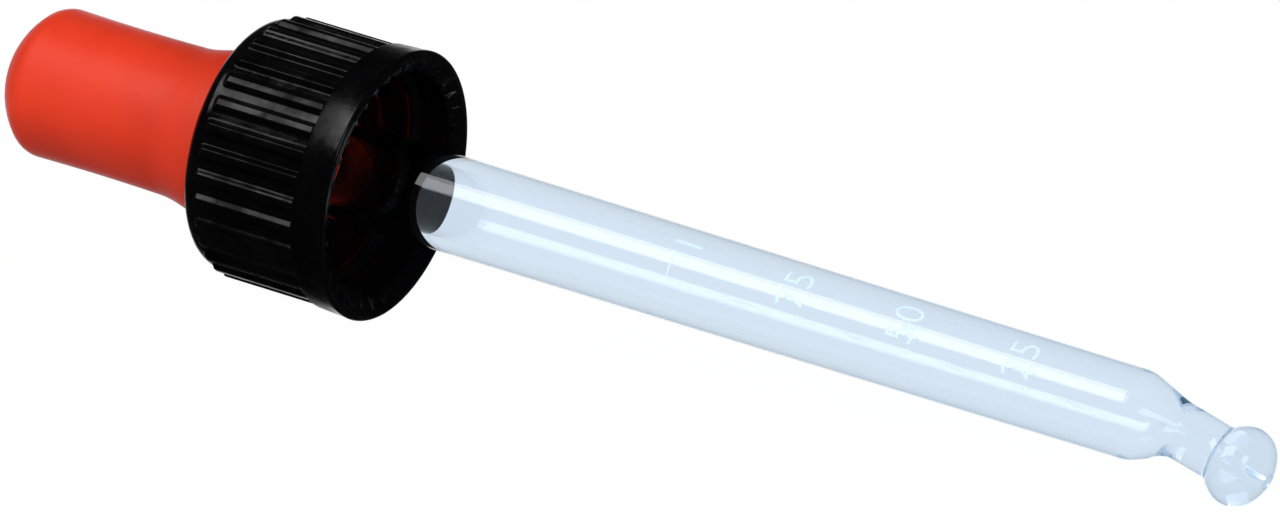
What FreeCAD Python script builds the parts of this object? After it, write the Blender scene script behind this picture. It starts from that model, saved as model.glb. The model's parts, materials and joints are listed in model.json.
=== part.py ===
"""Dropper for a small bottle: a rubber bulb, a ribbed screw cap and a glass pipette with a bent ball tip.

Every piece is first modelled on one common axis, X, with x = 0 in the plane of the cap's mouth, the
pipette running towards +X and the bulb towards -X. The finished assembly is then laid down as it
comes to rest: on the rim of the cap and on the ball of the tip, with the floor at z = 0.
Units are millimetres and degrees.
"""

import FreeCAD, Part
import math
import os

V = FreeCAD.Vector
ORIGIN = V(0, 0, 0)
AXIS = V(1, 0, 0)
ACROSS = V(0, 1, 0)

# ---------------------------------------------------------------- driving dimensions: screw cap
SOCKET_D = 18.3  # inside, across the roots of the thread, for an 18 mm bottle neck
SOCKET_DEPTH = 9.2  # from the mouth to the face that seals on the bottle
CAP_WALL = 1.1  # from the socket to the floors of the grooves between the ribs
CAP_TOP_WALL = 2.0
CAP_SHOULDER_R = 1.4  # rounding of the back edge
BAND_WIDTH = 3.0  # smooth band beside the mouth, with a shallow flat in line with each groove
BAND_STEP = 0.14  # how far the band's back edge stands above the ribs
BAND_FLARE = 0.21  # how much further the band stands out at the rim
RIM_CHAMFER = 0.2  # of the rim's outer edge
LIP_WIDTH = 0.65  # flat of the rim, outside the bevel
BEVEL_DEPTH = 0.8

# grip ribs outside, and fine radial ridges on the bevel inside the rim
RIB_COUNT = 32
RIB_HEIGHT = 0.4
RIB_CREST_WIDTH = 0.95
RIB_FOOT_WIDTH = 1.35
RIB_RUN_IN = 0.45  # slope at the back end of the ribs
RIDGE_COUNT = 36
RIDGE_WIDTH = 0.36
RIDGE_HEIGHT = 0.4  # at the inner end, above the bevel
RIDGE_LEVEL = 0.15  # length that is level with the lip, at the outer end

# right-handed thread
THREAD_HEIGHT = 0.65
THREAD_PITCH = 3.0
THREAD_TURNS = 1.75
THREAD_START = 1.7  # from the mouth to the middle of the thread's first end
THREAD_START_TURN = 90.0  # turns the thread's first end to the bottom
THREAD_ROOT_WIDTH = 1.3
THREAD_CREST_WIDTH = 0.5

# ---------------------------------------------------------------- driving dimensions: rubber bulb
BULB_LENGTH = 21.25  # from the cap's back face to the end of the dome
BULB_WALL = 1.4
BULB_ROOM = 0.73  # between the glass and the wall of the air chamber
WAIST_DEPTH = 0.07  # how far the body is drawn in at its middle
DOME_HEIGHT = 3.9
DOME_FLATNESS = 0.46  # share of the height by which its rounded edge falls short
COLLAR_FLARE = 0.95  # how far the collar on the cap's back face stands out from the body
COLLAR_RIM = 0.5
FLARE_LENGTH = 5.9
NECK_WALL = 2.08  # of the neck in the cap's hole, round the glass
FLANGE_THICKNESS = 2.4
FLANGE_GAP = 0.15  # between the flange's edge and the socket's wall, on the radius
SEAL_INSET = 0.15  # from the thread's crests in to the edge of the flat sealing face
HOLE_GAP = 0.02  # between the bulb's neck and the cap's hole, on the radius
GRIP_GAP = 0.02  # between the rubber and the glass that it grips, on the radius

# ---------------------------------------------------------------- driving dimensions: glass pipette
TUBE_D = 7.7  # at the cap's mouth
TUBE_TAPER = 0.5  # how much narrower the barrel is where the shoulder starts
TUBE_WALL = 1.0
TUBE_REACH = 66.4  # from the cap's mouth to the start of the shoulder
BEAD_R = 0.65  # bead round the end that sits inside the bulb
BEAD_BEHIND_CAP = 2.2  # from the cap's back face to the middle of the bead
BEAD_ROOM = 0.4  # between the bead and the front of the air chamber
SHOULDER_LENGTH = 4.6
BORE_TAPER_LENGTH = 5.0  # from the start of the shoulder to the fine bore
NECK_D = 4.5
NECK_LENGTH = 5.3  # from the end of the shoulder to the middle of the ball
BEND_START = 2.1  # from the start of the shoulder
BEND_RADIUS = 12.0
BEND_ANGLE = 15.0
BALL_D = 6.5
BALL_HALF_LENGTH = 2.5
BALL_FLATNESS = 0.12  # share of the half length by which its rounded edge falls short
BALL_FILLET_R = 0.35
FINE_BORE_D = 1.2
ORIFICE_FLARE = 0.2  # flame-rounded edge of the outlet
DRAWN_STATIONS = 15  # sections of the drawn-out glass between barrel and neck


def tube_r(x):
    """Outside radius of the glass barrel, which narrows evenly towards the tip."""
    return (TUBE_D - TUBE_TAPER * x / TUBE_REACH) / 2


# ---------------------------------------------------------------- places along the axis
SEAL_FACE = -SOCKET_DEPTH
CAP_SEAT = SEAL_FACE - FLANGE_THICKNESS  # inner side of the cap's top wall
CAP_BACK = CAP_SEAT - CAP_TOP_WALL
FLARE_BACK = CAP_BACK - FLARE_LENGTH
BULB_END = CAP_BACK - BULB_LENGTH
DOME_FRONT = BULB_END + DOME_HEIGHT
BEAD_X = CAP_BACK - BEAD_BEHIND_CAP
CHAMBER_FRONT = BEAD_X + BEAD_R + BEAD_ROOM
BEND_FROM = TUBE_REACH + BEND_START
BEND_TO = BEND_FROM + BEND_RADIUS * math.radians(BEND_ANGLE)
BALL_AT = TUBE_REACH + SHOULDER_LENGTH + NECK_LENGTH  # along the bent centreline

# ---------------------------------------------------------------- radii that follow
SOCKET_R = SOCKET_D / 2
RIB_ROOT_R = SOCKET_R + CAP_WALL
RIB_CREST_R = RIB_ROOT_R + RIB_HEIGHT
RIM_R = RIB_CREST_R + BAND_STEP + BAND_FLARE
RIM_FLAT_R = RIM_R * math.cos(math.pi / RIB_COUNT)  # to the middle of a flat of the band
LIP_R = RIM_R - LIP_WIDTH
THREAD_CREST_R = SOCKET_R - THREAD_HEIGHT
BULB_NECK_R = tube_r(CAP_BACK) + GRIP_GAP + NECK_WALL
HOLE_R = BULB_NECK_R + HOLE_GAP
CHAMBER_R = tube_r(BEAD_X) + BULB_ROOM
BULB_R = CHAMBER_R + BULB_WALL
COLLAR_R = BULB_R + COLLAR_FLARE
DOME_EDGE_R = DOME_HEIGHT * (1 - DOME_FLATNESS)
BALL_R = BALL_D / 2
BALL_EDGE_R = BALL_HALF_LENGTH * (1 - BALL_FLATNESS)


def centreline(s):
    """Point and slope, in degrees, of the glass's centreline at the length s from the cap's mouth."""
    past = max(s - BEND_FROM, 0)
    turn = min(past / BEND_RADIUS, math.radians(BEND_ANGLE))
    straight = past - BEND_RADIUS * turn
    x = min(s, BEND_FROM) + BEND_RADIUS * math.sin(turn) + straight * math.cos(turn)
    drop = BEND_RADIUS * (1 - math.cos(turn)) + straight * math.sin(turn)
    return V(x, 0, -drop), math.degrees(turn)


# ---------------------------------------------------------------- outlines, as (x, radius)
def at(x, r):
    return V(x, 0, r)


def polyline(*points):
    return [Part.makeLine(at(*a), at(*b)) for a, b in zip(points, points[1:])]


def arc(centre, radius, start, stop):
    """Arc between two directions, in degrees from +X towards the outside."""
    points = []
    for degrees in (start, (start + stop) / 2, stop):
        turn = math.radians(degrees)
        points.append(at(centre[0] + radius * math.cos(turn), centre[1] + radius * math.sin(turn)))
    return Part.Arc(*points).toShape()


def revolved(edges):
    """Solid of revolution about X of a closed outline."""
    face = Part.Face(Part.Wire(Part.sortEdges(edges)[0]))
    return face.revolve(ORIGIN, AXIS, 360)


def end_arc(length, radius, edge_r):
    """Radius of the flat arc that closes a round end of this length and radius, and the slope,
    in degrees from the axis, where it runs into the rounded edge."""
    inset = radius - edge_r
    end_r = (length**2 + inset**2 - edge_r**2) / (2 * (length - edge_r))
    return end_r, math.degrees(math.asin(inset / (end_r - edge_r)))


def around(shape, count):
    """Copies of a shape, evenly round the axis."""
    copies = []
    for i in range(count):
        copy = shape.copy()
        copy.rotate(ORIGIN, AXIS, i * 360 / count)
        copies.append(copy)
    return Part.makeCompound(copies)


# ---------------------------------------------------------------- screw cap
def cap_blank():
    """The cap without its grooves, band, ridges and thread."""
    shoulder_x = CAP_BACK + CAP_SHOULDER_R
    shoulder_r = RIB_ROOT_R - CAP_SHOULDER_R
    outline = polyline((CAP_BACK, HOLE_R), (CAP_BACK, shoulder_r))
    outline.append(arc((shoulder_x, shoulder_r), CAP_SHOULDER_R, 180, 90))
    outline += polyline(
        (shoulder_x, RIB_ROOT_R),
        (shoulder_x + RIB_RUN_IN, RIB_CREST_R),
        (0, RIB_CREST_R),
        (0, LIP_R),
        (-BEVEL_DEPTH, SOCKET_R),
        (CAP_SEAT, SOCKET_R),
        (CAP_SEAT, HOLE_R),
        (CAP_BACK, HOLE_R),
    )
    return revolved(outline)


def groove():
    """One groove between two ribs, at the top of the cap, open outwards."""
    clear_r = RIM_R + 1
    step = 2 * math.pi / RIB_COUNT
    floor = (RIB_ROOT_R * step - RIB_FOOT_WIDTH) / 2
    top = (RIB_CREST_R * step - RIB_CREST_WIDTH) / 2
    clear = floor + (top - floor) / RIB_HEIGHT * (clear_r - RIB_ROOT_R)
    x = CAP_BACK + CAP_SHOULDER_R / 2
    corners = [V(x, -floor, RIB_ROOT_R), V(x, floor, RIB_ROOT_R), V(x, clear, clear_r), V(x, -clear, clear_r)]
    face = Part.Face(Part.makePolygon(corners + corners[:1]))
    return face.extrude(V(-BAND_WIDTH - x, 0, 0))


def band_section(x, corner_r):
    """Section with as many sides as the cap has grooves, and one of them at the bottom."""
    corners = []
    for i in range(RIB_COUNT + 1):
        turn = 2 * math.pi * (i + 0.5) / RIB_COUNT
        corners.append(V(x, corner_r * math.sin(turn), -corner_r * math.cos(turn)))
    return Part.makePolygon(corners)


def band():
    """Ring round the cap's mouth. Its flats keep the dropper from rolling."""
    sections = [(-BAND_WIDTH, RIB_CREST_R + BAND_STEP), (-RIM_CHAMFER, RIM_R), (0, RIM_R - RIM_CHAMFER)]
    ring = Part.makeLoft([band_section(x, r) for x, r in sections], True, True)
    inner_r = (LIP_R + RIB_CREST_R) / 2
    return ring.cut(Part.makeCylinder(inner_r, BAND_WIDTH + 2, V(-BAND_WIDTH - 1, 0, 0), AXIS))


def bevel_ridge():
    """One radial ridge on the bevel inside the mouth, rooted a little way into the cap."""
    root = 0.1
    side = -RIDGE_WIDTH / 2
    corners = [
        V(0, side, LIP_R + root),
        V(0, side, LIP_R - RIDGE_LEVEL),
        V(-BEVEL_DEPTH + RIDGE_HEIGHT, side, SOCKET_R + root),
        V(-BEVEL_DEPTH - root, side, SOCKET_R + root),
        V(-root, side, LIP_R + root),
    ]
    face = Part.Face(Part.makePolygon(corners + corners[:1]))
    return face.extrude(V(0, RIDGE_WIDTH, 0))


def thread():
    """Right-handed ridge round the socket's wall, rooted a little way into the wall."""
    root = 0.15
    slope = (THREAD_ROOT_WIDTH - THREAD_CREST_WIDTH) / 2 / THREAD_HEIGHT
    foot = THREAD_ROOT_WIDTH / 2 + slope * root
    crest = THREAD_CREST_WIDTH / 2
    length = THREAD_PITCH * THREAD_TURNS
    # wound round Z, and then turned so that Z lies along the cap's axis
    foot_r = SOCKET_R + root
    crest_r = THREAD_CREST_R
    corners = [V(foot_r, 0, -foot), V(crest_r, 0, -crest), V(crest_r, 0, crest), V(foot_r, 0, foot)]
    section = Part.makePolygon(corners + corners[:1])
    spine = Part.Wire(Part.makeHelix(THREAD_PITCH, length, SOCKET_R))
    ridge = spine.makePipeShell([section], True, True)
    ridge.rotate(ORIGIN, ACROSS, 90)
    ridge.rotate(ORIGIN, AXIS, THREAD_START_TURN)
    ridge.translate(V(-THREAD_START - length, 0, 0))
    return ridge


def screw_cap():
    # a groove is lowest, between two ribs
    body = cap_blank().cut(around(groove(), RIB_COUNT)).fuse(band())
    body = body.fuse(around(bevel_ridge(), RIDGE_COUNT))
    return body.fuse(thread())


# ---------------------------------------------------------------- rubber bulb
def bulb_outside():
    collar_x = CAP_BACK - COLLAR_RIM
    third = (collar_x - FLARE_BACK) / 3
    flare = Part.BezierCurve()
    flare.setPoles(
        [
            at(collar_x, COLLAR_R),
            at(collar_x - third, COLLAR_R),
            at(FLARE_BACK + third, BULB_R),
            at(FLARE_BACK, BULB_R),
        ]
    )
    middle = at((FLARE_BACK + DOME_FRONT) / 2, BULB_R - WAIST_DEPTH)
    waist = Part.Arc(at(FLARE_BACK, BULB_R), middle, at(DOME_FRONT, BULB_R))
    end_r, meet = end_arc(DOME_HEIGHT, BULB_R, DOME_EDGE_R)
    flange_r = SOCKET_R - FLANGE_GAP
    seal_r = THREAD_CREST_R - SEAL_INSET
    seal_edge = flange_r - seal_r
    outline = [flare.toShape(), waist.toShape()]
    outline.append(arc((DOME_FRONT, BULB_R - DOME_EDGE_R), DOME_EDGE_R, 90, 180 - meet))
    outline.append(arc((BULB_END + end_r, 0), end_r, 180 - meet, 180))
    outline.append(arc((SEAL_FACE - seal_edge, seal_r), seal_edge, 0, 90))
    outline += polyline((BULB_END, 0), (SEAL_FACE, 0), (SEAL_FACE, seal_r))
    outline += polyline(
        (SEAL_FACE - seal_edge, flange_r),
        (CAP_SEAT, flange_r),
        (CAP_SEAT, BULB_NECK_R),
        (CAP_BACK, BULB_NECK_R),
        (CAP_BACK, COLLAR_R),
        (collar_x, COLLAR_R),
    )
    return revolved(outline)


def bulb_inside():
    """The hole that grips the glass, and the air chamber behind it, one wall inside the outside."""
    grip_r = tube_r(CHAMBER_FRONT) + GRIP_GAP
    end_r, meet = end_arc(DOME_HEIGHT, BULB_R, DOME_EDGE_R)
    outline = [arc((DOME_FRONT, BULB_R - DOME_EDGE_R), DOME_EDGE_R - BULB_WALL, 90, 180 - meet)]
    outline.append(arc((BULB_END + end_r, 0), end_r - BULB_WALL, 180 - meet, 180))
    outline += polyline(
        (BULB_END + BULB_WALL, 0),
        (SEAL_FACE, 0),
        (SEAL_FACE, tube_r(SEAL_FACE) + GRIP_GAP),
        (CHAMBER_FRONT, grip_r),
        (CHAMBER_FRONT - (CHAMBER_R - grip_r), CHAMBER_R),
        (DOME_FRONT, CHAMBER_R),
    )
    return revolved(outline)


def rubber_bulb():
    return bulb_outside().cut(bulb_inside())


# ---------------------------------------------------------------- glass pipette
def drawn(first_r, last_r, length):
    """Round solid along the bent centreline, from the barrel's end on, that narrows over this
    length, and the place along the centreline where it stops."""
    stop = max(TUBE_REACH + length, BEND_TO)
    rings = []
    for i in range(DRAWN_STATIONS):
        s = TUBE_REACH + (stop - TUBE_REACH) * i / (DRAWN_STATIONS - 1)
        t = min((s - TUBE_REACH) / length, 1)
        radius = first_r + (last_r - first_r) * t * t * (3 - 2 * t)
        point, slope = centreline(s)
        turn = math.radians(slope)
        rings.append(Part.Wire(Part.makeCircle(radius, point, V(math.cos(turn), 0, -math.sin(turn)))))
    return Part.makeLoft(rings, True), stop


def on_tip(shape):
    """Moves what was made round X, with the ball's middle at x = 0, to its place on the tip."""
    point, slope = centreline(BALL_AT)
    shape.rotate(ORIGIN, ACROSS, slope)
    shape.translate(point)
    return shape


def ball_and_neck(neck_from):
    end_r, meet = end_arc(BALL_HALF_LENGTH, BALL_R, BALL_EDGE_R)
    end_x = BALL_HALF_LENGTH - end_r
    inset = BALL_R - BALL_EDGE_R
    outline = [
        arc((end_x, 0), end_r, 0, meet),
        arc((0, inset), BALL_EDGE_R, meet, 180 - meet),
        arc((-end_x, 0), end_r, 180 - meet, 180),
    ]
    outline += polyline((-BALL_HALF_LENGTH, 0), (BALL_HALF_LENGTH, 0))
    neck_run = BALL_AT - neck_from
    neck = Part.makeCylinder(NECK_D / 2, neck_run, V(-neck_run, 0, 0), AXIS)
    joined = revolved(outline).fuse(neck)
    notch = [
        edge
        for edge in joined.Edges
        if abs(edge.Length - math.pi * NECK_D) < 1e-3 and edge.BoundBox.XMin > 1e-3 - neck_run
    ]
    return joined.makeFillet(BALL_FILLET_R, notch)


def pipette_outside():
    barrel_run = TUBE_REACH - BEAD_X
    barrel = Part.makeCone(tube_r(BEAD_X), tube_r(TUBE_REACH), barrel_run, V(BEAD_X, 0, 0), AXIS)
    bead = Part.makeTorus(tube_r(BEAD_X) - TUBE_WALL / 2, BEAD_R, V(BEAD_X, 0, 0), AXIS)
    shoulder, neck_from = drawn(tube_r(TUBE_REACH), NECK_D / 2, SHOULDER_LENGTH)
    tip = on_tip(ball_and_neck(neck_from))
    return barrel.fuse([bead, shoulder, tip])


def pipette_bore():
    start = BEAD_X - BEAD_R
    start_r = tube_r(start) - TUBE_WALL
    stop_r = tube_r(TUBE_REACH) - TUBE_WALL
    fine_r = FINE_BORE_D / 2
    barrel = Part.makeCone(start_r, stop_r, TUBE_REACH - start, V(start, 0, 0), AXIS)
    narrowing, fine_from = drawn(stop_r, fine_r, BORE_TAPER_LENGTH)
    fine_run = BALL_AT - fine_from
    fine = Part.makeCylinder(fine_r, fine_run + BALL_HALF_LENGTH, V(-fine_run, 0, 0), AXIS)
    flare_x = BALL_HALF_LENGTH - ORIFICE_FLARE
    flare = Part.makeCone(fine_r, fine_r + 2 * ORIFICE_FLARE, 2 * ORIFICE_FLARE, V(flare_x, 0, 0), AXIS)
    return barrel.fuse([narrowing, on_tip(fine.fuse(flare))])


def glass_pipette():
    return pipette_outside().cut(pipette_bore())


# ---------------------------------------------------------------- laid down at rest
def rest_tilt():
    """How far, in degrees, the axis slopes down when the cap's rim and the ball both touch the floor.

    The rim touches it with the edge of a flat. The ball touches it with its rounded edge, whose
    centre stands above the floor by its radius."""
    ball, slope = centreline(BALL_AT)
    bend = math.radians(slope)
    inset = BALL_R - BALL_EDGE_R
    along = ball.x - inset * math.sin(bend) + RIM_CHAMFER
    down = RIM_FLAT_R + ball.z - inset * math.cos(bend)
    return math.degrees(math.atan2(down, along) - math.asin(BALL_EDGE_R / math.hypot(down, along)))


def lay_down(shapes):
    for shape in shapes:
        shape.rotate(ORIGIN, ACROSS, rest_tilt())
    box = Part.makeCompound(shapes).optimalBoundingBox(False)
    for shape in shapes:
        shape.translate(V(-box.Center.x, 0, -box.ZMin))


def main():
    shapes = {"rubber_bulb": rubber_bulb(), "screw_cap": screw_cap(), "glass_pipette": glass_pipette()}
    solids = {name: shape.removeSplitter().Solids[0] for name, shape in shapes.items()}
    lay_down(list(solids.values()))
    os.makedirs("parts", exist_ok=True)
    for name, solid in solids.items():
        solid.exportStep(f"parts/{name}.step")


main()
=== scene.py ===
"""Looks of the dropper pipette: rubber bulb, screw cap and printed glass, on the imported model."""

import math

import bmesh
import bpy
from mathutils import Matrix, Vector
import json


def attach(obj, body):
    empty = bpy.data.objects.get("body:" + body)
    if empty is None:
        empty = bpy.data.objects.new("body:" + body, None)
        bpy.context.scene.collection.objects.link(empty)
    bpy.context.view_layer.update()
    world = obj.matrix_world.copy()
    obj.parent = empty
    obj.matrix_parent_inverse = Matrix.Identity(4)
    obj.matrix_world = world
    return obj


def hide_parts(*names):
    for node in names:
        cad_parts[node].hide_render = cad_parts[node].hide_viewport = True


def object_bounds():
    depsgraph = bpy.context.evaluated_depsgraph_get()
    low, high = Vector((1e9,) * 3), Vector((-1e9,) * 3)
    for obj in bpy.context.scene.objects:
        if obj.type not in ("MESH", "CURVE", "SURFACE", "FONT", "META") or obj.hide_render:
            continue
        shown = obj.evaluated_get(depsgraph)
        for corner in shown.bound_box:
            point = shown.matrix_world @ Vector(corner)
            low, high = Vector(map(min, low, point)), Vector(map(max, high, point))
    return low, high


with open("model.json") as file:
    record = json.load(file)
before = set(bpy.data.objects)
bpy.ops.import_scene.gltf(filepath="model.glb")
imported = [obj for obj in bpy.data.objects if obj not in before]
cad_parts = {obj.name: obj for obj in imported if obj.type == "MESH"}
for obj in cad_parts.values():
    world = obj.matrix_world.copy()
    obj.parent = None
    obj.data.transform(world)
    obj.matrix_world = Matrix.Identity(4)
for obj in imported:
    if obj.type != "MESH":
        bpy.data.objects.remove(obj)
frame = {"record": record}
cad_low, cad_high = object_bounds()

# ---------------------------------------- sizes, in millimetres and degrees
MM = 0.001

# screw cap; lengths along its axis are counted from the mouth, negative towards the bulb
SOCKET_R = 9.15
SOCKET_DEPTH = 9.2
FLANGE_THICKNESS = 2.4
TOP_WALL = 2.0
ROOT_R = 10.25
RIB_HEIGHT = 0.4
RIB_COUNT = 32
RIB_CREST = 0.95
RIB_FOOT = 1.35
RIB_RUN_IN = 0.45
RIB_FLAT = 0.45  # share of the crest that stays flat between its rounded edges
RIB_SPREAD = 1.04  # how far out a rib's rounded sides run, as a share of its foot
SHOULDER_R = 1.4
BAND_WIDTH = 3.0
BAND_STEP = 0.14
BAND_FLARE = 0.18
BAND_EDGE = 0.09
RIM_EDGE_R = 0.3
LIP_WIDTH = 0.65
BEVEL_DEPTH = 0.8
RIDGE_COUNT = 36
RIDGE_WIDTH = 0.36
RIDGE_HEIGHT = 0.4
RIDGE_LEVEL = 0.15  # how far in from the lip the ridges start
RIDGE_FLAT = 0.5  # half a ridge's flat top, as a share of half its width
RIDGE_FOOT = 1.6  # and half its foot
BEVEL_FOOT = 0.1  # width of the step where the bevel meets the socket's wall
THREAD_HEIGHT = 0.65
THREAD_PITCH = 3.0
THREAD_TURNS = 1.75
THREAD_START = 1.7
THREAD_START_AZIMUTH = 180.0
THREAD_ROOT = 1.3
THREAD_CREST = 0.5
THREAD_EDGE = 0.85  # share of the thread's height where its crest starts to round
THREAD_BURIED = 0.15  # how deep the thread is rooted in the wall
THREAD_FADE = 22  # each end fades over one part in this many of the thread's length
THREAD_END_WIDTH = 0.4  # share of its width that the thread keeps at its ends
THREAD_STEPS = 300

# rubber bulb
BULB_LENGTH = 21.25
BULB_R = 6.045
BULB_WALL = 1.4
WAIST_DEPTH = 0.07
DOME_HEIGHT = 3.9
DOME_EDGE_R = 2.106
COLLAR_FLARE = 0.95
COLLAR_RIM = 0.5
COLLAR_EDGE_R = 0.3
FLARE_LENGTH = 5.9
BULB_NECK_R = 6.0
FLANGE_R = 9.0
SEAL_R = 8.35
GRIP_GAP = 0.02  # between the bulb and the glass, and the bulb's neck and the cap
BULB_HOLE_R = 3.93
NEAR_POLE = 179.5  # arcs that end on the axis stop just short of it, at a pole of one point

# glass pipette
TUBE_R = 3.85
TUBE_END_R = 3.6
TUBE_WALL = 1.0
TUBE_REACH = 66.4
BEAD_R = 0.65
BEAD_BEHIND_CAP = 2.2
BEAD_ROOM = 0.4
BEAD_RUN = 0.7  # distance from the bead's middle to where it meets the tube
SHOULDER_LENGTH = 4.6
BORE_TAPER_LENGTH = 5.0
NECK_R = 2.25
NECK_LENGTH = 5.3
BEND_START = 2.1
BEND_RADIUS = 12.0
BEND_ANGLE = 15.0
BALL_R = 3.25
BALL_HALF_LENGTH = 2.5
BALL_EDGE_R = 2.2
BALL_FILLET_R = 1.2
FINE_BORE_R = 0.6
ORIFICE_R = 0.2

# printed scale: what is printed, and where its middle stands along the tube
PRINTS = (("1", 27.4, -23.0), (".75", 37.4, -44.0), (".50", 47.2, -44.0), (".25", 57.5, -44.0))
PRINT_HEIGHT = 2.6
PRINT_STROKE_THINNING = 0.035
PRINT_LIFT = 0.002  # between the glass and the print's underside
PRINT_THICKNESS = 0.02
PRINT_FACET = 0.15
DIGIT_HEIGHT = 0.73  # of the font's numerals, as a share of its size
BAR_X = 26.7
BAR_AZIMUTH = -55.0
BAR_LENGTH = 2.1
BAR_WIDTH = 0.16

CAP_SEAT = -SOCKET_DEPTH - FLANGE_THICKNESS
CAP_BACK = CAP_SEAT - TOP_WALL
RIM_R = ROOT_R + RIB_HEIGHT + BAND_STEP + BAND_FLARE
LIP_R = RIM_R - LIP_WIDTH
BEAD_X = CAP_BACK - BEAD_BEHIND_CAP
BEND_FROM = TUBE_REACH + BEND_START
BALL_AT = TUBE_REACH + SHOULDER_LENGTH + NECK_LENGTH

# ---------------------------------------- the part's own axis, from the frame
mouth = next(m for m in frame["record"]["mounts"] if m["name"] == "neck_thread")
MOUTH = Vector(mouth["pos_m"])
AXIS = Vector(mouth["axis"]).normalized()
SIDE = Vector((0, 1, 0))
UP = AXIS.cross(SIDE)


def place(x, y, z):
    """The point x along the axis from the cap's mouth, y to the side and z up, in the frame."""
    return MOUTH + (AXIS * x + SIDE * y + UP * z) * MM


def smooth(t):
    t = min(max(t, 0.0), 1.0)
    return t * t * (3 - 2 * t)


def mix(a, b, t):
    return a + (b - a) * t


def steps(a, b, count):
    """Evenly spaced values from a to b, both included."""
    return [a + (b - a) * i / (count - 1) for i in range(count)]


# ---------------------------------------- outlines, as (x, radius)
def arc(centre, radius, start, stop, count):
    """Points on an arc between two directions, in degrees from +x towards the outside."""
    angles = [math.radians(a) for a in steps(start, stop, count)]
    x, r = centre
    return [(x + radius * math.cos(a), r + radius * math.sin(a)) for a in angles]


def s_curve(a, b, count):
    """Points that leave a and reach b level with the axis."""
    return [(mix(a[0], b[0], t), mix(a[1], b[1], smooth(t))) for t in steps(0, 1, count)]


def end_arc(length, radius, edge_r):
    """Radius of the flat arc that closes a round end, and its slope at the rounded edge."""
    inset = radius - edge_r
    end_r = (length**2 + inset**2 - edge_r**2) / (2 * (length - edge_r))
    return end_r, math.degrees(math.asin(inset / (end_r - edge_r)))


def centreline(s):
    """Place along the axis, drop below it and slope of the glass's centreline at the length s."""
    past = max(s - BEND_FROM, 0)
    turn = min(past / BEND_RADIUS, math.radians(BEND_ANGLE))
    straight = past - BEND_RADIUS * turn
    x = min(s, BEND_FROM) + BEND_RADIUS * math.sin(turn) + straight * math.cos(turn)
    drop = BEND_RADIUS * (1 - math.cos(turn)) + straight * math.sin(turn)
    return x, drop, turn


# ---------------------------------------- meshes from rings of points
def around(x, radius, azimuth):
    """A point round the straight axis; azimuth 0 is up and a quarter turn is +Y."""
    return place(x, radius * math.sin(azimuth), radius * math.cos(azimuth))


def ring(x, radius, azimuths):
    return [around(x, radius, a) for a in azimuths]


def turned(outline, azimuths):
    """The rings that an outline makes when it is turned round the straight axis."""
    return [ring(x, radius, azimuths) for x, radius in outline]


def bent_ring(s, radius, azimuths):
    """Points round the glass's bent centreline."""
    x, drop, turn = centreline(s)
    points = []
    for a in azimuths:
        across, up = radius * math.sin(a), radius * math.cos(a)
        points.append(place(x + up * math.sin(turn), across, up * math.cos(turn) - drop))
    return points


def turns(count):
    return [2 * math.pi * i / count for i in range(count)]


def add_skin(vertices, faces, rings, closed=False):
    """Quads between neighbouring rings; a ring of one point is a pole."""
    starts = []
    for points in rings:
        starts.append(len(vertices))
        vertices.extend(points)
    pairs = list(zip(range(len(rings)), range(1, len(rings))))
    if closed:
        pairs.append((len(rings) - 1, 0))
    for a, b in pairs:
        count = max(len(rings[a]), len(rings[b]))
        for i in range(count):
            j = (i + 1) % count
            corners = [
                starts[a] + i % len(rings[a]),
                starts[a] + j % len(rings[a]),
                starts[b] + j % len(rings[b]),
                starts[b] + i % len(rings[b]),
            ]
            faces.append(list(dict.fromkeys(corners)))


def rectangle(name, x, y):
    """A flat mesh that reaches x and y to each side."""
    mesh = bpy.data.meshes.new(name)
    mesh.from_pydata([(-x, -y, 0), (x, -y, 0), (x, y, 0), (-x, y, 0)], [], [(0, 1, 2, 3)])
    return mesh


def make_piece(name, vertices, faces, material, sharp=35.0):
    """A piece on the part's body; edges bent by more than sharp degrees look sharp."""
    mesh = bpy.data.meshes.new(name)
    mesh.from_pydata([tuple(v) for v in vertices], [], faces)
    mesh.validate()
    shape = bmesh.new()
    shape.from_mesh(mesh)
    bmesh.ops.recalc_face_normals(shape, faces=shape.faces[:])
    shape.to_mesh(mesh)
    shape.free()
    mesh.shade_smooth()
    mesh.set_sharp_from_angle(angle=math.radians(sharp))
    mesh.materials.append(material)
    piece = bpy.data.objects.new(name, mesh)
    bpy.context.scene.collection.objects.link(piece)
    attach(piece, "root")
    return piece


# ---------------------------------------- materials
def new_material(name):
    material = bpy.data.materials.new(name)
    material.use_nodes = True
    nodes, links = material.node_tree.nodes, material.node_tree.links
    return material, nodes, links, nodes["Principled BSDF"], nodes["Material Output"]


def noise(nodes, links, scale, detail, roughness):
    """Noise on the piece's own coordinates; scale is in features per metre."""
    node = nodes.new("ShaderNodeTexNoise")
    node.inputs["Scale"].default_value = scale
    node.inputs["Detail"].default_value = detail
    node.inputs["Roughness"].default_value = roughness
    point = nodes.get("Texture Coordinate") or nodes.new("ShaderNodeTexCoord")
    links.new(point.outputs["Object"], node.inputs["Vector"])
    return node.outputs["Fac"]


def ramp(nodes, links, source, start, stop):
    """A blend between two colours; each end is a position and a colour."""
    node = nodes.new("ShaderNodeValToRGB")
    for element, (position, colour) in zip(node.color_ramp.elements, (start, stop)):
        element.position = position
        element.color = (*colour, 1)
    links.new(source, node.inputs["Fac"])
    return node.outputs["Color"]


def bump(nodes, links, height, strength, distance, normal=None):
    node = nodes.new("ShaderNodeBump")
    node.inputs["Strength"].default_value = strength
    node.inputs["Distance"].default_value = distance
    links.new(height, node.inputs["Height"])
    if normal:
        links.new(normal, node.inputs["Normal"])
    return node.outputs["Normal"]


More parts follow.
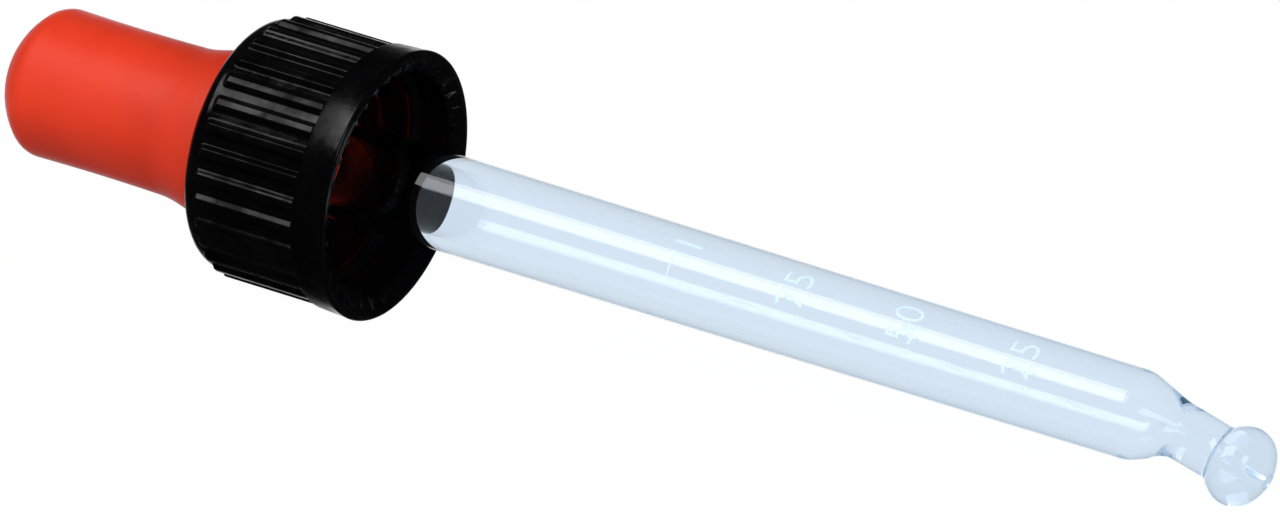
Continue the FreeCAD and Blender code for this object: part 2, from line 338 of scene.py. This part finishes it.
def math_node(nodes, links, operation, a, b):
    node = nodes.new("ShaderNodeMath")
    node.operation = operation
    for value, socket in zip((a, b), node.inputs):
        if isinstance(value, float):
            socket.default_value = value
        else:
            links.new(value, socket)
    return node.outputs["Value"]


def map_range(nodes, links, source, low, high, to_low, to_high, kind="LINEAR"):
    node = nodes.new("ShaderNodeMapRange")
    node.interpolation_type = kind
    node.inputs["From Min"].default_value = low
    node.inputs["From Max"].default_value = high
    node.inputs["To Min"].default_value = to_low
    node.inputs["To Max"].default_value = to_high
    links.new(source, node.inputs["Value"])
    return node.outputs["Result"]


def dot_product(nodes, links, source, direction):
    node = nodes.new("ShaderNodeVectorMath")
    node.operation = "DOT_PRODUCT"
    links.new(source, node.inputs[0])
    node.inputs[1].default_value = direction
    return node.outputs["Value"]


def mix_shaders(nodes, links, share, first, second):
    """The first shader where the share is 0, and the second where it is 1."""
    node = nodes.new("ShaderNodeMixShader")
    for source, socket in zip((share, first, second), node.inputs):
        links.new(source, socket)
    return node.outputs["Shader"]


def attribute(nodes, name):
    node = nodes.new("ShaderNodeAttribute")
    node.attribute_name = name
    return node.outputs["Fac"]


def paint(piece, name, values):
    """Stores one value for each vertex of a piece, for its material to read."""
    layer = piece.data.attributes.new(name, "FLOAT", "POINT")
    layer.data.foreach_set("value", values)


def red_rubber():
    """Matt red rubber with a soft sheen, a fine grain and slow waves in its skin."""
    material, nodes, links, shader, _ = new_material("red_rubber")
    cloud = noise(nodes, links, 160, 4.0, 0.6)
    darker, lighter = (0.3, (0.80, 0.037, 0.008)), (0.7, (0.88, 0.046, 0.011))
    colour = ramp(nodes, links, cloud, darker, lighter)
    links.new(colour, shader.inputs["Base Color"])
    grain = noise(nodes, links, 3500, 3.0, 0.6)
    waves = noise(nodes, links, 260, 2.0, 0.5)
    normal = bump(nodes, links, grain, 0.25, 0.00002)
    normal = bump(nodes, links, waves, 0.2, 0.0001, normal)
    links.new(normal, shader.inputs["Normal"])
    shader.inputs["Roughness"].default_value = 0.5
    shader.inputs["Specular IOR Level"].default_value = 0.28
    shader.inputs["Sheen Weight"].default_value = 0.8
    shader.inputs["Sheen Roughness"].default_value = 0.25
    shader.inputs["Sheen Tint"].default_value = (1.0, 0.8, 0.85, 1)
    return material


DULL_ROUGHNESS = 0.15  # what the dullest plastic adds to its roughness
DULL_LOSS = 0.95  # and the share of its gloss that it loses


def black_plastic():
    """Black plastic, polished in patches outside, dull inside, with a slightly uneven skin."""
    material, nodes, links, shader, _ = new_material("black_plastic")
    dull = attribute(nodes, "dull")
    cloud = noise(nodes, links, 420, 5.0, 0.7)
    polish = map_range(nodes, links, cloud, 0.35, 0.65, 0.10, 0.28)
    duller = math_node(nodes, links, "MULTIPLY", dull, DULL_ROUGHNESS)
    roughness = math_node(nodes, links, "ADD", polish, duller)
    links.new(roughness, shader.inputs["Roughness"])
    patches = noise(nodes, links, 230, 3.0, 0.7)
    gloss = map_range(nodes, links, patches, 0.38, 0.62, 0.06, 0.30)
    lost = math_node(nodes, links, "MULTIPLY", dull, DULL_LOSS)
    kept = math_node(nodes, links, "SUBTRACT", 1.0, lost)
    gloss = math_node(nodes, links, "MULTIPLY", gloss, kept)
    links.new(gloss, shader.inputs["Specular IOR Level"])
    waves = noise(nodes, links, 380, 4.0, 0.6)
    links.new(bump(nodes, links, waves, 0.6, 0.0001), shader.inputs["Normal"])
    shader.inputs["Base Color"].default_value = (0.0012, 0.0012, 0.0016, 1)
    return material


NEAR_CAP, FAR_FROM_CAP = 30, 60  # millimetres from the mouth
BORE_TINT = (0.97, 0.985, 1.0)
OUTSIDE_TINT = (0.75, 0.845, 0.945)
# painted light: past this many reflections inside the wall, the glass shows a painted pale blue
# glow instead
MAX_REFLECTIONS = 2.5  # light that was mirrored inside the wall more often than this is lost


def clear_of_cap(nodes, links):
    """0 in and near the cap, 1 where nothing dark stands round the glass; the glass's painted glow
    follows this share.
    """
    point = nodes.new("ShaderNodeTexCoord").outputs["Object"]
    along = dot_product(nodes, links, point, AXIS)
    near, far = (MOUTH.dot(AXIS) + x * MM for x in (NEAR_CAP, FAR_FROM_CAP))
    return map_range(nodes, links, along, near, far, 0.0, 1.0, "SMOOTHSTEP")


def clear_glass():
    """Clear glass with a faint blue tint, and a painted pale blue glow where light is lost in deep
    reflections; lamps reach what is behind it.
    """
    material, nodes, links, shader, output = new_material("clear_glass")
    outside = attribute(nodes, "outside")
    tint = ramp(nodes, links, outside, (0.0, BORE_TINT), (1.0, OUTSIDE_TINT))
    links.new(tint, shader.inputs["Base Color"])
    shader.inputs["Transmission Weight"].default_value = 1.0
    shader.inputs["Roughness"].default_value = 0.0
    shader.inputs["IOR"].default_value = 1.5
    path = nodes.new("ShaderNodeLightPath")
    lamps = nodes.new("ShaderNodeBsdfTransparent")
    lamps.inputs["Color"].default_value = (0.9, 0.94, 0.98, 1)
    shadow = path.outputs["Is Shadow Ray"]
    lit = mix_shaders(nodes, links, shadow, shader.outputs["BSDF"], lamps.outputs["BSDF"])
    # painted light: lost light would leave black wedges, so a glowing pale blue is painted in its
    # place
    lost = nodes.new("ShaderNodeEmission")
    lost.inputs["Color"].default_value = (0.66, 0.77, 0.88, 1)
    painted_glow_share = math_node(nodes, links, "GREATER_THAN", path.outputs["Glossy Depth"], MAX_REFLECTIONS)
    painted_glow_share = math_node(nodes, links, "MULTIPLY", painted_glow_share, clear_of_cap(nodes, links))
    whole = mix_shaders(nodes, links, painted_glow_share, lit, lost.outputs["Emission"])
    links.new(whole, output.inputs["Surface"])
    depth = nodes.new("ShaderNodeVolumeAbsorption")
    depth.inputs["Color"].default_value = (0.333, 0.583, 0.767, 1)
    depth.inputs["Density"].default_value = 45
    links.new(depth.outputs["Volume"], output.inputs["Volume"])
    return material


def white_print():
    """Thin bluish-white print that the glass shows through, with a faint painted blue glow."""
    material, _, _, shader, _ = new_material("white_print")
    shader.inputs["Base Color"].default_value = (0.75, 0.85, 0.95, 1)
    shader.inputs["Roughness"].default_value = 0.6
    # painted light: a faint blue glow makes the print look brighter than the lamps alone light it
    shader.inputs["Emission Color"].default_value = (0.4, 0.75, 1.0, 1)
    shader.inputs["Emission Strength"].default_value = 0.25
    shader.inputs["Alpha"].default_value = 0.5
    return material


# ---------------------------------------- rubber bulb
def rubber_bulb():
    flare_back = CAP_BACK - FLARE_LENGTH
    bulb_end = CAP_BACK - BULB_LENGTH
    dome_front = bulb_end + DOME_HEIGHT
    collar_x = CAP_BACK - COLLAR_RIM
    collar_r = BULB_R + COLLAR_FLARE
    seal_edge = FLANGE_R - SEAL_R
    front = BEAD_X + BEAD_R + BEAD_ROOM
    chamber_r = BULB_R - BULB_WALL
    end_r, meet = end_arc(DOME_HEIGHT, BULB_R, DOME_EDGE_R)
    end_centre = (bulb_end + end_r, 0)
    edge_centre = (dome_front, BULB_R - DOME_EDGE_R)
    outline = arc(end_centre, end_r, NEAR_POLE, 180 - meet, 14)
    outline += arc(edge_centre, DOME_EDGE_R, 180 - meet, 90, 28)[1:]
    for t in steps(0, 1, 24)[1:-1]:
        outline.append((mix(dome_front, flare_back, t), BULB_R - WAIST_DEPTH * 4 * t * (1 - t)))
    outline += s_curve((flare_back, BULB_R), (collar_x, collar_r), 20)
    edge = (CAP_BACK - COLLAR_EDGE_R, collar_r - COLLAR_EDGE_R)
    outline += arc(edge, COLLAR_EDGE_R, 90, 0, 5)[1:]
    # the collar's face, the neck in the cap's hole and the flange inside the cap
    outline += [(CAP_BACK, collar_r - COLLAR_EDGE_R), (CAP_BACK, BULB_NECK_R)]
    outline += [(CAP_SEAT, BULB_NECK_R), (CAP_SEAT, FLANGE_R)]
    outline += arc((-SOCKET_DEPTH - seal_edge, SEAL_R), seal_edge, 90, 0, 8)
    # the hole for the glass and the chamber behind it
    outline += [(-SOCKET_DEPTH, BULB_HOLE_R), (front, BULB_HOLE_R)]
    outline += [(front - (chamber_r - BULB_HOLE_R), chamber_r), (dome_front, chamber_r)]
    outline += arc(edge_centre, DOME_EDGE_R - BULB_WALL, 90, 180 - meet, 16)[1:]
    outline += arc(end_centre, end_r - BULB_WALL, 180 - meet, NEAR_POLE, 10)[1:]
    rings = [[place(bulb_end, 0, 0)]]
    rings += turned(outline, turns(160))
    rings += [[place(bulb_end + BULB_WALL, 0, 0)]]
    vertices, faces = [], []
    add_skin(vertices, faces, rings)
    return make_piece("bulb", vertices, faces, red_rubber())


# ---------------------------------------- screw cap
def cap_azimuths():
    """Directions that catch the edges of every rib outside and of every ridge inside."""
    rib_step = 360 / RIB_COUNT
    crest = math.degrees(RIB_CREST / 2 / (ROOT_R + RIB_HEIGHT))
    foot = math.degrees(RIB_FOOT / 2 / ROOT_R)
    rib = [0] + steps(crest * RIB_FLAT, foot * RIB_SPREAD, 9)
    rib += [mix(foot, rib_step / 2, 0.5)]
    ridge_step = 360 / RIDGE_COUNT
    half = math.degrees(RIDGE_WIDTH / 2 / LIP_R)
    ridge = [half * share for share in (RIDGE_FLAT, 0.85, 1.15, RIDGE_FOOT)]
    found = [k * rib_step for k in range(RIB_COUNT)]
    for side in (-1, 1):
        found += [(k + 0.5) * rib_step + side * a for k in range(RIB_COUNT) for a in rib]
        found += [k * ridge_step + side * a for k in range(RIDGE_COUNT) for a in ridge]
    return [math.radians(a) for a in sorted({round(a % 360, 3) for a in found})]


def rib_share(azimuth):
    """1 on the crest of a grip rib, 0 on the floor of a groove."""
    rib_step = 2 * math.pi / RIB_COUNT
    off = abs((azimuth % rib_step) - rib_step / 2)
    crest = RIB_CREST / 2 / (ROOT_R + RIB_HEIGHT)
    foot = RIB_FOOT / 2 / ROOT_R
    return 1 - smooth((off - crest * RIB_FLAT) / (foot * RIB_SPREAD - crest * RIB_FLAT))


def ridge_share(azimuth):
    """1 on a ridge of the bevel inside the mouth, 0 between them."""
    step = 2 * math.pi / RIDGE_COUNT
    off = azimuth % step
    off = min(off, step - off)
    half = RIDGE_WIDTH / 2 / LIP_R
    return 1 - smooth((off / half - RIDGE_FLAT) / (RIDGE_FOOT - RIDGE_FLAT))


def cap_outside(azimuths):
    """Rings from the hole in the cap's back, over the shoulder, ribs and band, to the mouth."""
    shoulder_x = CAP_BACK + SHOULDER_R
    rings = [ring(CAP_BACK, BULB_NECK_R + GRIP_GAP, azimuths)]
    rings += turned(arc((shoulder_x, ROOT_R - SHOULDER_R), SHOULDER_R, 180, 90, 12), azimuths)
    # close together where the ribs rise and where the band steps out
    places = steps(shoulder_x + 0.06, shoulder_x + RIB_RUN_IN + 0.1, 6)
    places += steps(shoulder_x + 1.2, -BAND_WIDTH - 1.2, 5)
    places += [-BAND_WIDTH - 0.4]
    places += steps(-BAND_WIDTH - BAND_EDGE, -BAND_WIDTH + BAND_EDGE, 6)
    places += [-BAND_WIDTH + 0.3, -BAND_WIDTH / 2, -RIM_EDGE_R * 1.6]
    for x in places:
        rise = smooth((x - shoulder_x) / RIB_RUN_IN)
        on_band = smooth((x + BAND_WIDTH + BAND_EDGE) / (2 * BAND_EDGE))
        flare = BAND_FLARE * max(x + BAND_WIDTH, 0) / BAND_WIDTH
        band_r = ROOT_R + RIB_HEIGHT + BAND_STEP + flare
        ribs_r = [ROOT_R + RIB_HEIGHT * rib_share(a) * rise for a in azimuths]
        rings.append([around(x, mix(r, band_r, on_band), a) for r, a in zip(ribs_r, azimuths)])
    rings += turned(arc((-RIM_EDGE_R, RIM_R - RIM_EDGE_R), RIM_EDGE_R, 88, 0, 7), azimuths)
    return rings


def cap_inside(azimuths):
    """Rings from the lip down the ridged bevel and the socket's wall to the hole in its floor."""
    rings = []
    inner_r = SOCKET_R + BEVEL_FOOT
    ridges_from = LIP_R - RIDGE_LEVEL
    radii = [LIP_R + 0.12, LIP_R, LIP_R - 0.08, ridges_from]
    radii += steps(LIP_R - 0.3, inner_r + 0.05, 4)
    radii += [inner_r, inner_r - 0.04, SOCKET_R + 0.03, SOCKET_R]
    for r in radii:
        bevel = -BEVEL_DEPTH * max(LIP_R - r, 0) / (LIP_R - SOCKET_R)
        ridge = bevel
        if r >= inner_r:
            slope = max(ridges_from - r, 0) / (ridges_from - inner_r)
            ridge = max((RIDGE_HEIGHT - BEVEL_DEPTH) * slope, bevel)
        rings.append([around(mix(bevel, ridge, ridge_share(a)), r, a) for a in azimuths])
    wall = [(x, SOCKET_R) for x in (-BEVEL_DEPTH - 0.1, -SOCKET_DEPTH / 2, CAP_SEAT)]
    return rings + turned(wall + [(CAP_SEAT, BULB_NECK_R + GRIP_GAP)], azimuths)


def thread_rings():
    """The thread's section, repeated along its helix, with both ends fading into the wall."""
    flank = [
        (THREAD_BURIED, THREAD_ROOT / 2 + 0.1),
        (0, THREAD_ROOT / 2),
        (-THREAD_HEIGHT * THREAD_EDGE, THREAD_CREST / 2 + 0.08),
        (-THREAD_HEIGHT, THREAD_CREST / 2 - 0.06),
    ]
    section = [(out, -along) for out, along in flank] + flank[::-1]
    rings = []
    for t in steps(0, 1, THREAD_STEPS):
        azimuth = math.radians(THREAD_START_AZIMUTH + 360 * THREAD_TURNS * t)
        x = -THREAD_START - THREAD_PITCH * THREAD_TURNS * t
        full = smooth(min(t, 1 - t) * THREAD_FADE)
        width = mix(THREAD_END_WIDTH, 1, full)
        radii = [SOCKET_R + (out if out > 0 else out * full) for out, _ in section]
        places = [x + along * width for _, along in section]
        rings.append([around(place_x, r, azimuth) for place_x, r in zip(places, radii)])
    return rings


# how dull the black plastic is, from 0 to 1: on the band, ring by ring from its back edge to
# the mouth, and inside the cap
BAND_DULLNESS = [0.7, 0.7, 0.7, 0.7, 0.5, 0, 0, 0, 0, 0, 0, 0, 0]
BEVEL_RINGS = 8
WALL_DULLNESS = 0.9
THREAD_DULLNESS = 0.35


def screw_cap():
    azimuths = cap_azimuths()
    vertices, faces = [], []
    outside = cap_outside(azimuths)
    add_skin(vertices, faces, outside + cap_inside(azimuths), closed=True)
    thread = thread_rings()
    first = len(vertices)
    add_skin(vertices, faces, thread)
    count = len(thread[0])
    last = first + count * (len(thread) - 1)
    faces.append(list(range(first, first + count)))
    faces.append(list(range(last + count - 1, last - 1, -1)))
    piece = make_piece("cap", vertices, faces, black_plastic(), sharp=40)
    dull = [0.0] * (len(outside) - len(BAND_DULLNESS)) * len(azimuths)
    dull += [value for value in BAND_DULLNESS for _ in azimuths]
    # the bevel is dull on the near side, -Y, and catches light on the far side
    dull += [(1 - math.sin(a)) / 2 for _ in range(BEVEL_RINGS) for a in azimuths]
    dull += [WALL_DULLNESS] * (first - len(dull)) + [THREAD_DULLNESS] * (len(vertices) - first)
    paint(piece, "dull", dull)
    return piece


# ---------------------------------------- glass pipette
def tube_r(x):
    """Outer radius of the tube, which narrows a little towards its shoulder."""
    return TUBE_R + (TUBE_END_R - TUBE_R) * x / TUBE_REACH


def glass_outline():
    """The glass's closed section, as (length along the centreline, radius): first the outside,
    then the bore."""
    tube_from, tube_to = BEAD_X + BEAD_RUN, TUBE_REACH - 0.4
    neck_from = TUBE_REACH + SHOULDER_LENGTH
    outline = [(x, tube_r(x)) for x in steps(tube_from, tube_to, 24)]
    outline += s_curve((TUBE_REACH, TUBE_END_R), (neck_from, NECK_R), 30)
    # the neck runs into the ball through a small fillet
    end_r, meet = end_arc(BALL_HALF_LENGTH, BALL_R, BALL_EDGE_R)
    back_centre = BALL_AT - BALL_HALF_LENGTH + end_r
    fillet_r = NECK_R + BALL_FILLET_R
    fillet_x = back_centre - math.sqrt((end_r + BALL_FILLET_R) ** 2 - fillet_r**2)
    outline += [(x, NECK_R) for x in steps(neck_from + 0.3, fillet_x - 0.1, 8)]
    lean = math.degrees(math.asin(fillet_r / (end_r + BALL_FILLET_R)))
    outline += arc((fillet_x, fillet_r), BALL_FILLET_R, 270, 360 - lean, 8)
    outline += arc((back_centre, 0), end_r, 180 - lean - 0.8, 180 - meet, 4)
    outline += arc((BALL_AT, BALL_R - BALL_EDGE_R), BALL_EDGE_R, 180 - meet, meet, 36)[1:]
    # the ball's front and its orifice
    face_r = FINE_BORE_R + ORIFICE_R
    front_centre = BALL_AT + BALL_HALF_LENGTH - end_r
    last = math.degrees(math.asin(face_r / end_r))
    outline += arc((front_centre, 0), end_r, meet, last, 12)[1:]
    lip_x = front_centre + end_r * math.cos(math.radians(last)) - ORIFICE_R
    outline += arc((lip_x, face_r), ORIFICE_R, 0, -90, 7)[1:]
    # the fine bore, its taper, the wide bore and the bead at the hidden end
    taper_to = TUBE_REACH + BORE_TAPER_LENGTH
    outline += [(x, FINE_BORE_R) for x in steps(lip_x - 0.3, taper_to + 0.2, 12)]
    wide_bore = (TUBE_REACH, TUBE_END_R - TUBE_WALL)
    outline += s_curve(wide_bore, (taper_to, FINE_BORE_R), 36)[::-1]
    outline += [(x, tube_r(x) - TUBE_WALL) for x in steps(tube_to, tube_from, 24)]
    return outline + arc((BEAD_X, tube_r(BEAD_X) - TUBE_WALL / 2), BEAD_R, 310, 50, 24)


def glass_pipette():
    azimuths = turns(192)
    outline = glass_outline()
    rings = [bent_ring(s, r, azimuths) for s, r in outline]
    vertices, faces = [], []
    add_skin(vertices, faces, rings, closed=True)
    piece = make_piece("glass", vertices, faces, clear_glass(), sharp=60)
    foremost = max(range(len(outline)), key=lambda i: outline[i][0])
    outside = [1.0] * (foremost + 1) + [0.0] * (len(outline) - foremost - 1)
    paint(piece, "outside", [value for value in outside for _ in azimuths])
    return piece


# ---------------------------------------- printed scale
def wrapped(name, flat, x, azimuth, material):
    """Lays a flat mesh, in millimetres with its top towards the cap, round the tube as a print."""
    bm = bmesh.new()
    bm.from_mesh(flat)
    low = min(v.co.x for v in bm.verts)
    high = max(v.co.x for v in bm.verts)
    for cut in steps(low, high, 2 + int((high - low) / PRINT_FACET))[1:-1]:
        whole = bm.verts[:] + bm.edges[:] + bm.faces[:]
        bmesh.ops.bisect_plane(bm, geom=whole, plane_co=(cut, 0, 0), plane_no=(1, 0, 0))
    bmesh.ops.triangulate(bm, faces=bm.faces[:])
    vertices, faces = [], []
    for lift in (PRINT_THICKNESS, PRINT_LIFT):
        for v in bm.verts:
            along = x - v.co.y
            r = tube_r(along) + lift
            vertices.append(around(along, r, math.radians(azimuth) + v.co.x / r))
    bm.verts.index_update()
    count = len(bm.verts)
    for face in bm.faces:
        corners = [v.index for v in face.verts]
        faces.append(corners)
        faces.append([c + count for c in reversed(corners)])
    for edge in bm.edges:
        if edge.is_boundary:
            a, b = (v.index for v in edge.verts)
            faces.append([a, b, b + count, a + count])
    bm.free()
    piece = make_piece(name, vertices, faces, material)


def flat_text(body):
    """A numeral as a flat mesh, centred, of the print's height."""
    curve = bpy.data.curves.new("numeral", "FONT")
    curve.body = body
    curve.align_x = "CENTER"
    curve.size = PRINT_HEIGHT / DIGIT_HEIGHT
    curve.offset = -PRINT_STROKE_THINNING
    curve.resolution_u = 6
    holder = bpy.data.objects.new("numeral", curve)
    mesh = bpy.data.meshes.new_from_object(holder)
    bpy.data.objects.remove(holder)
    low = min(v.co.y for v in mesh.vertices)
    high = max(v.co.y for v in mesh.vertices)
    for v in mesh.vertices:
        v.co.y -= (low + high) / 2
    return mesh


def printed_scale():
    material = white_print()
    for body, x, azimuth in PRINTS:
        wrapped("print_" + body.replace(".", "0"), flat_text(body), x, azimuth, material)
    bar = rectangle("bar", BAR_LENGTH / 2, BAR_WIDTH / 2)
    wrapped("print_bar", bar, BAR_X, BAR_AZIMUTH, material)


# ---------------------------------------- stage, light and camera
VIEW_AZIMUTH = 30.83
VIEW_ELEVATION = 21.70
VIEW_DISTANCE = 1.551  # in metres
VIEW_LENS = 562.5
AIM = MOUTH + Vector((22.245, 0, -1.467)) * MM
CENTRE = (cad_low + cad_high) / 2

FLOOR_REACH = 3.0  # in metres
FLOOR_GLOW = 1.02
FLOOR_WHITE = 0.965  # share of the floor's look that is its glow; the rest takes shadows
FILL = 0.16  # strength of the light from all round
FRONT_SHARE = 0.035  # how bright the room in front is where it is mirrored, as a share of the back
FRONT_TO, BACK_FROM = 0.86, 0.98  # cosines of the angle to the line of sight


def look(azimuth, elevation):
    """Direction back from the part to a viewer; azimuth 0 stands on -Y and 90 on +X."""
    a, e = math.radians(azimuth), math.radians(elevation)
    return Vector((math.sin(a) * math.cos(e), -math.cos(a) * math.cos(e), math.sin(e)))


def seen_as(nodes, links, ray, sign):
    """Whether a ray sees the white backdrop, in the view and through the glass, whether it
    mirrors it, and how bright the backdrop is to it: mirrored, the room is white behind the
    part and dark in front. The socket ray times the sign is the ray's direction."""
    path = nodes.new("ShaderNodeLightPath").outputs
    seen = math_node(nodes, links, "MAXIMUM", path["Is Camera Ray"], path["Is Transmission Ray"])
    onward = look(VIEW_AZIMUTH, VIEW_ELEVATION) * -sign
    behind = dot_product(nodes, links, ray, onward)
    share = map_range(nodes, links, behind, FRONT_TO, BACK_FROM, FRONT_SHARE, 1.0, "SMOOTHSTEP")
    mirrored = math_node(nodes, links, "MULTIPLY", path["Is Glossy Ray"], share)
    bright = math_node(nodes, links, "MAXIMUM", seen, mirrored)
    return seen, path["Is Glossy Ray"], bright


def floor():
    """A white floor that fades into the backdrop and keeps a faint shadow of the part."""
    mesh = rectangle("floor", FLOOR_REACH, FLOOR_REACH)
    piece = bpy.data.objects.new("floor", mesh)
    bpy.context.scene.collection.objects.link(piece)
    material, nodes, links, shader, output = new_material("floor")
    shader.inputs["Base Color"].default_value = (0.5, 0.5, 0.5, 1)
    shader.inputs["Roughness"].default_value = 1.0
    shader.inputs["Specular IOR Level"].default_value = 0.0
    incoming = nodes.new("ShaderNodeNewGeometry").outputs["Incoming"]
    seen, mirrored, bright = seen_as(nodes, links, incoming, -1)
    glow = nodes.new("ShaderNodeEmission")
    links.new(math_node(nodes, links, "MULTIPLY", bright, FLOOR_GLOW), glow.inputs["Strength"])
    seen = math_node(nodes, links, "MULTIPLY", seen, FLOOR_WHITE)
    share = math_node(nodes, links, "MAXIMUM", seen, mirrored)
    blend = mix_shaders(nodes, links, share, shader.outputs["BSDF"], glow.outputs["Emission"])
    links.new(blend, output.inputs["Surface"])
    mesh.materials.append(material)


def sky():
    """The same backdrop above the floor, and the light that it gives from all round."""
    world = bpy.data.worlds.new("studio")
    bpy.context.scene.world = world
    world.use_nodes = True
    nodes, links = world.node_tree.nodes, world.node_tree.links
    fill = nodes["Background"]
    fill.inputs["Color"].default_value = (1, 1, 1, 1)
    fill.inputs["Strength"].default_value = FILL
    onward = nodes.new("ShaderNodeTexCoord").outputs["Generated"]
    seen, mirrored, bright = seen_as(nodes, links, onward, 1)
    white = nodes.new("ShaderNodeBackground")
    white.inputs["Color"].default_value = (1, 1, 1, 1)
    links.new(bright, white.inputs["Strength"])
    share = math_node(nodes, links, "MAXIMUM", seen, mirrored)
    dim, bright_white = (node.outputs["Background"] for node in (fill, white))
    blend = mix_shaders(nodes, links, share, dim, bright_white)
    links.new(blend, nodes["World Output"].inputs["Surface"])


def lamp(name, azimuth, elevation, distance, along, across, radiance, mirrored=True):
    """A soft box with one side along the part's axis; radiance is what a mirror would show of
    it. One that isn't mirrored lights the part without a highlight of its own."""
    light = bpy.data.lights.new(name, "AREA")
    light.shape = "RECTANGLE"
    light.size, light.size_y = along, across
    light.energy = radiance * math.pi * along * across
    holder = bpy.data.objects.new(name, light)
    back = look(azimuth, elevation)
    side = (AXIS - back * AXIS.dot(back)).normalized()
    holder.matrix_world = Matrix((side, back.cross(side), back)).transposed().to_4x4()
    holder.location = CENTRE + back * distance
    holder.visible_camera = False
    holder.visible_glossy = holder.visible_transmission = mirrored
    bpy.context.scene.collection.objects.link(holder)


def lights():
    """Azimuth and elevation in degrees, distance and both sides in metres, and the radiance."""
    lamp("key", -42, 55.5, 0.5, 0.45, 0.26, 3.7)
    lamp("fill", -35, 18, 0.6, 0.6, 0.4, 1.2, mirrored=False)
    lamp("front", 58, 28, 0.6, 0.22, 0.22, 3.4)
    lamp("mouth", 76, 20, 0.6, 0.2, 0.2, 12.0, mirrored=False)
    lamp("beside", 28, 24, 1.2, 0.25, 0.25, 3.0, mirrored=False)


def camera():
    data = bpy.data.cameras.new("camera")
    data.lens = VIEW_LENS
    data.sensor_width = 36.0
    data.clip_start, data.clip_end = 0.05, 20
    holder = bpy.data.objects.new("camera", data)
    back = look(VIEW_AZIMUTH, VIEW_ELEVATION)
    holder.location = AIM + back * VIEW_DISTANCE
    holder.rotation_mode = "QUATERNION"
    holder.rotation_quaternion = (-back).to_track_quat("-Z", "Y")
    bpy.context.scene.collection.objects.link(holder)
    bpy.context.scene.camera = holder


bulb = rubber_bulb()
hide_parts("rubber_bulb")
cap = screw_cap()
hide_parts("screw_cap")
glass = glass_pipette()
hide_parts("glass_pipette")
printed_scale()
floor()
sky()
lights()
camera()
bpy.context.scene.view_settings.view_transform = "Standard"

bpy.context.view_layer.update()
import json
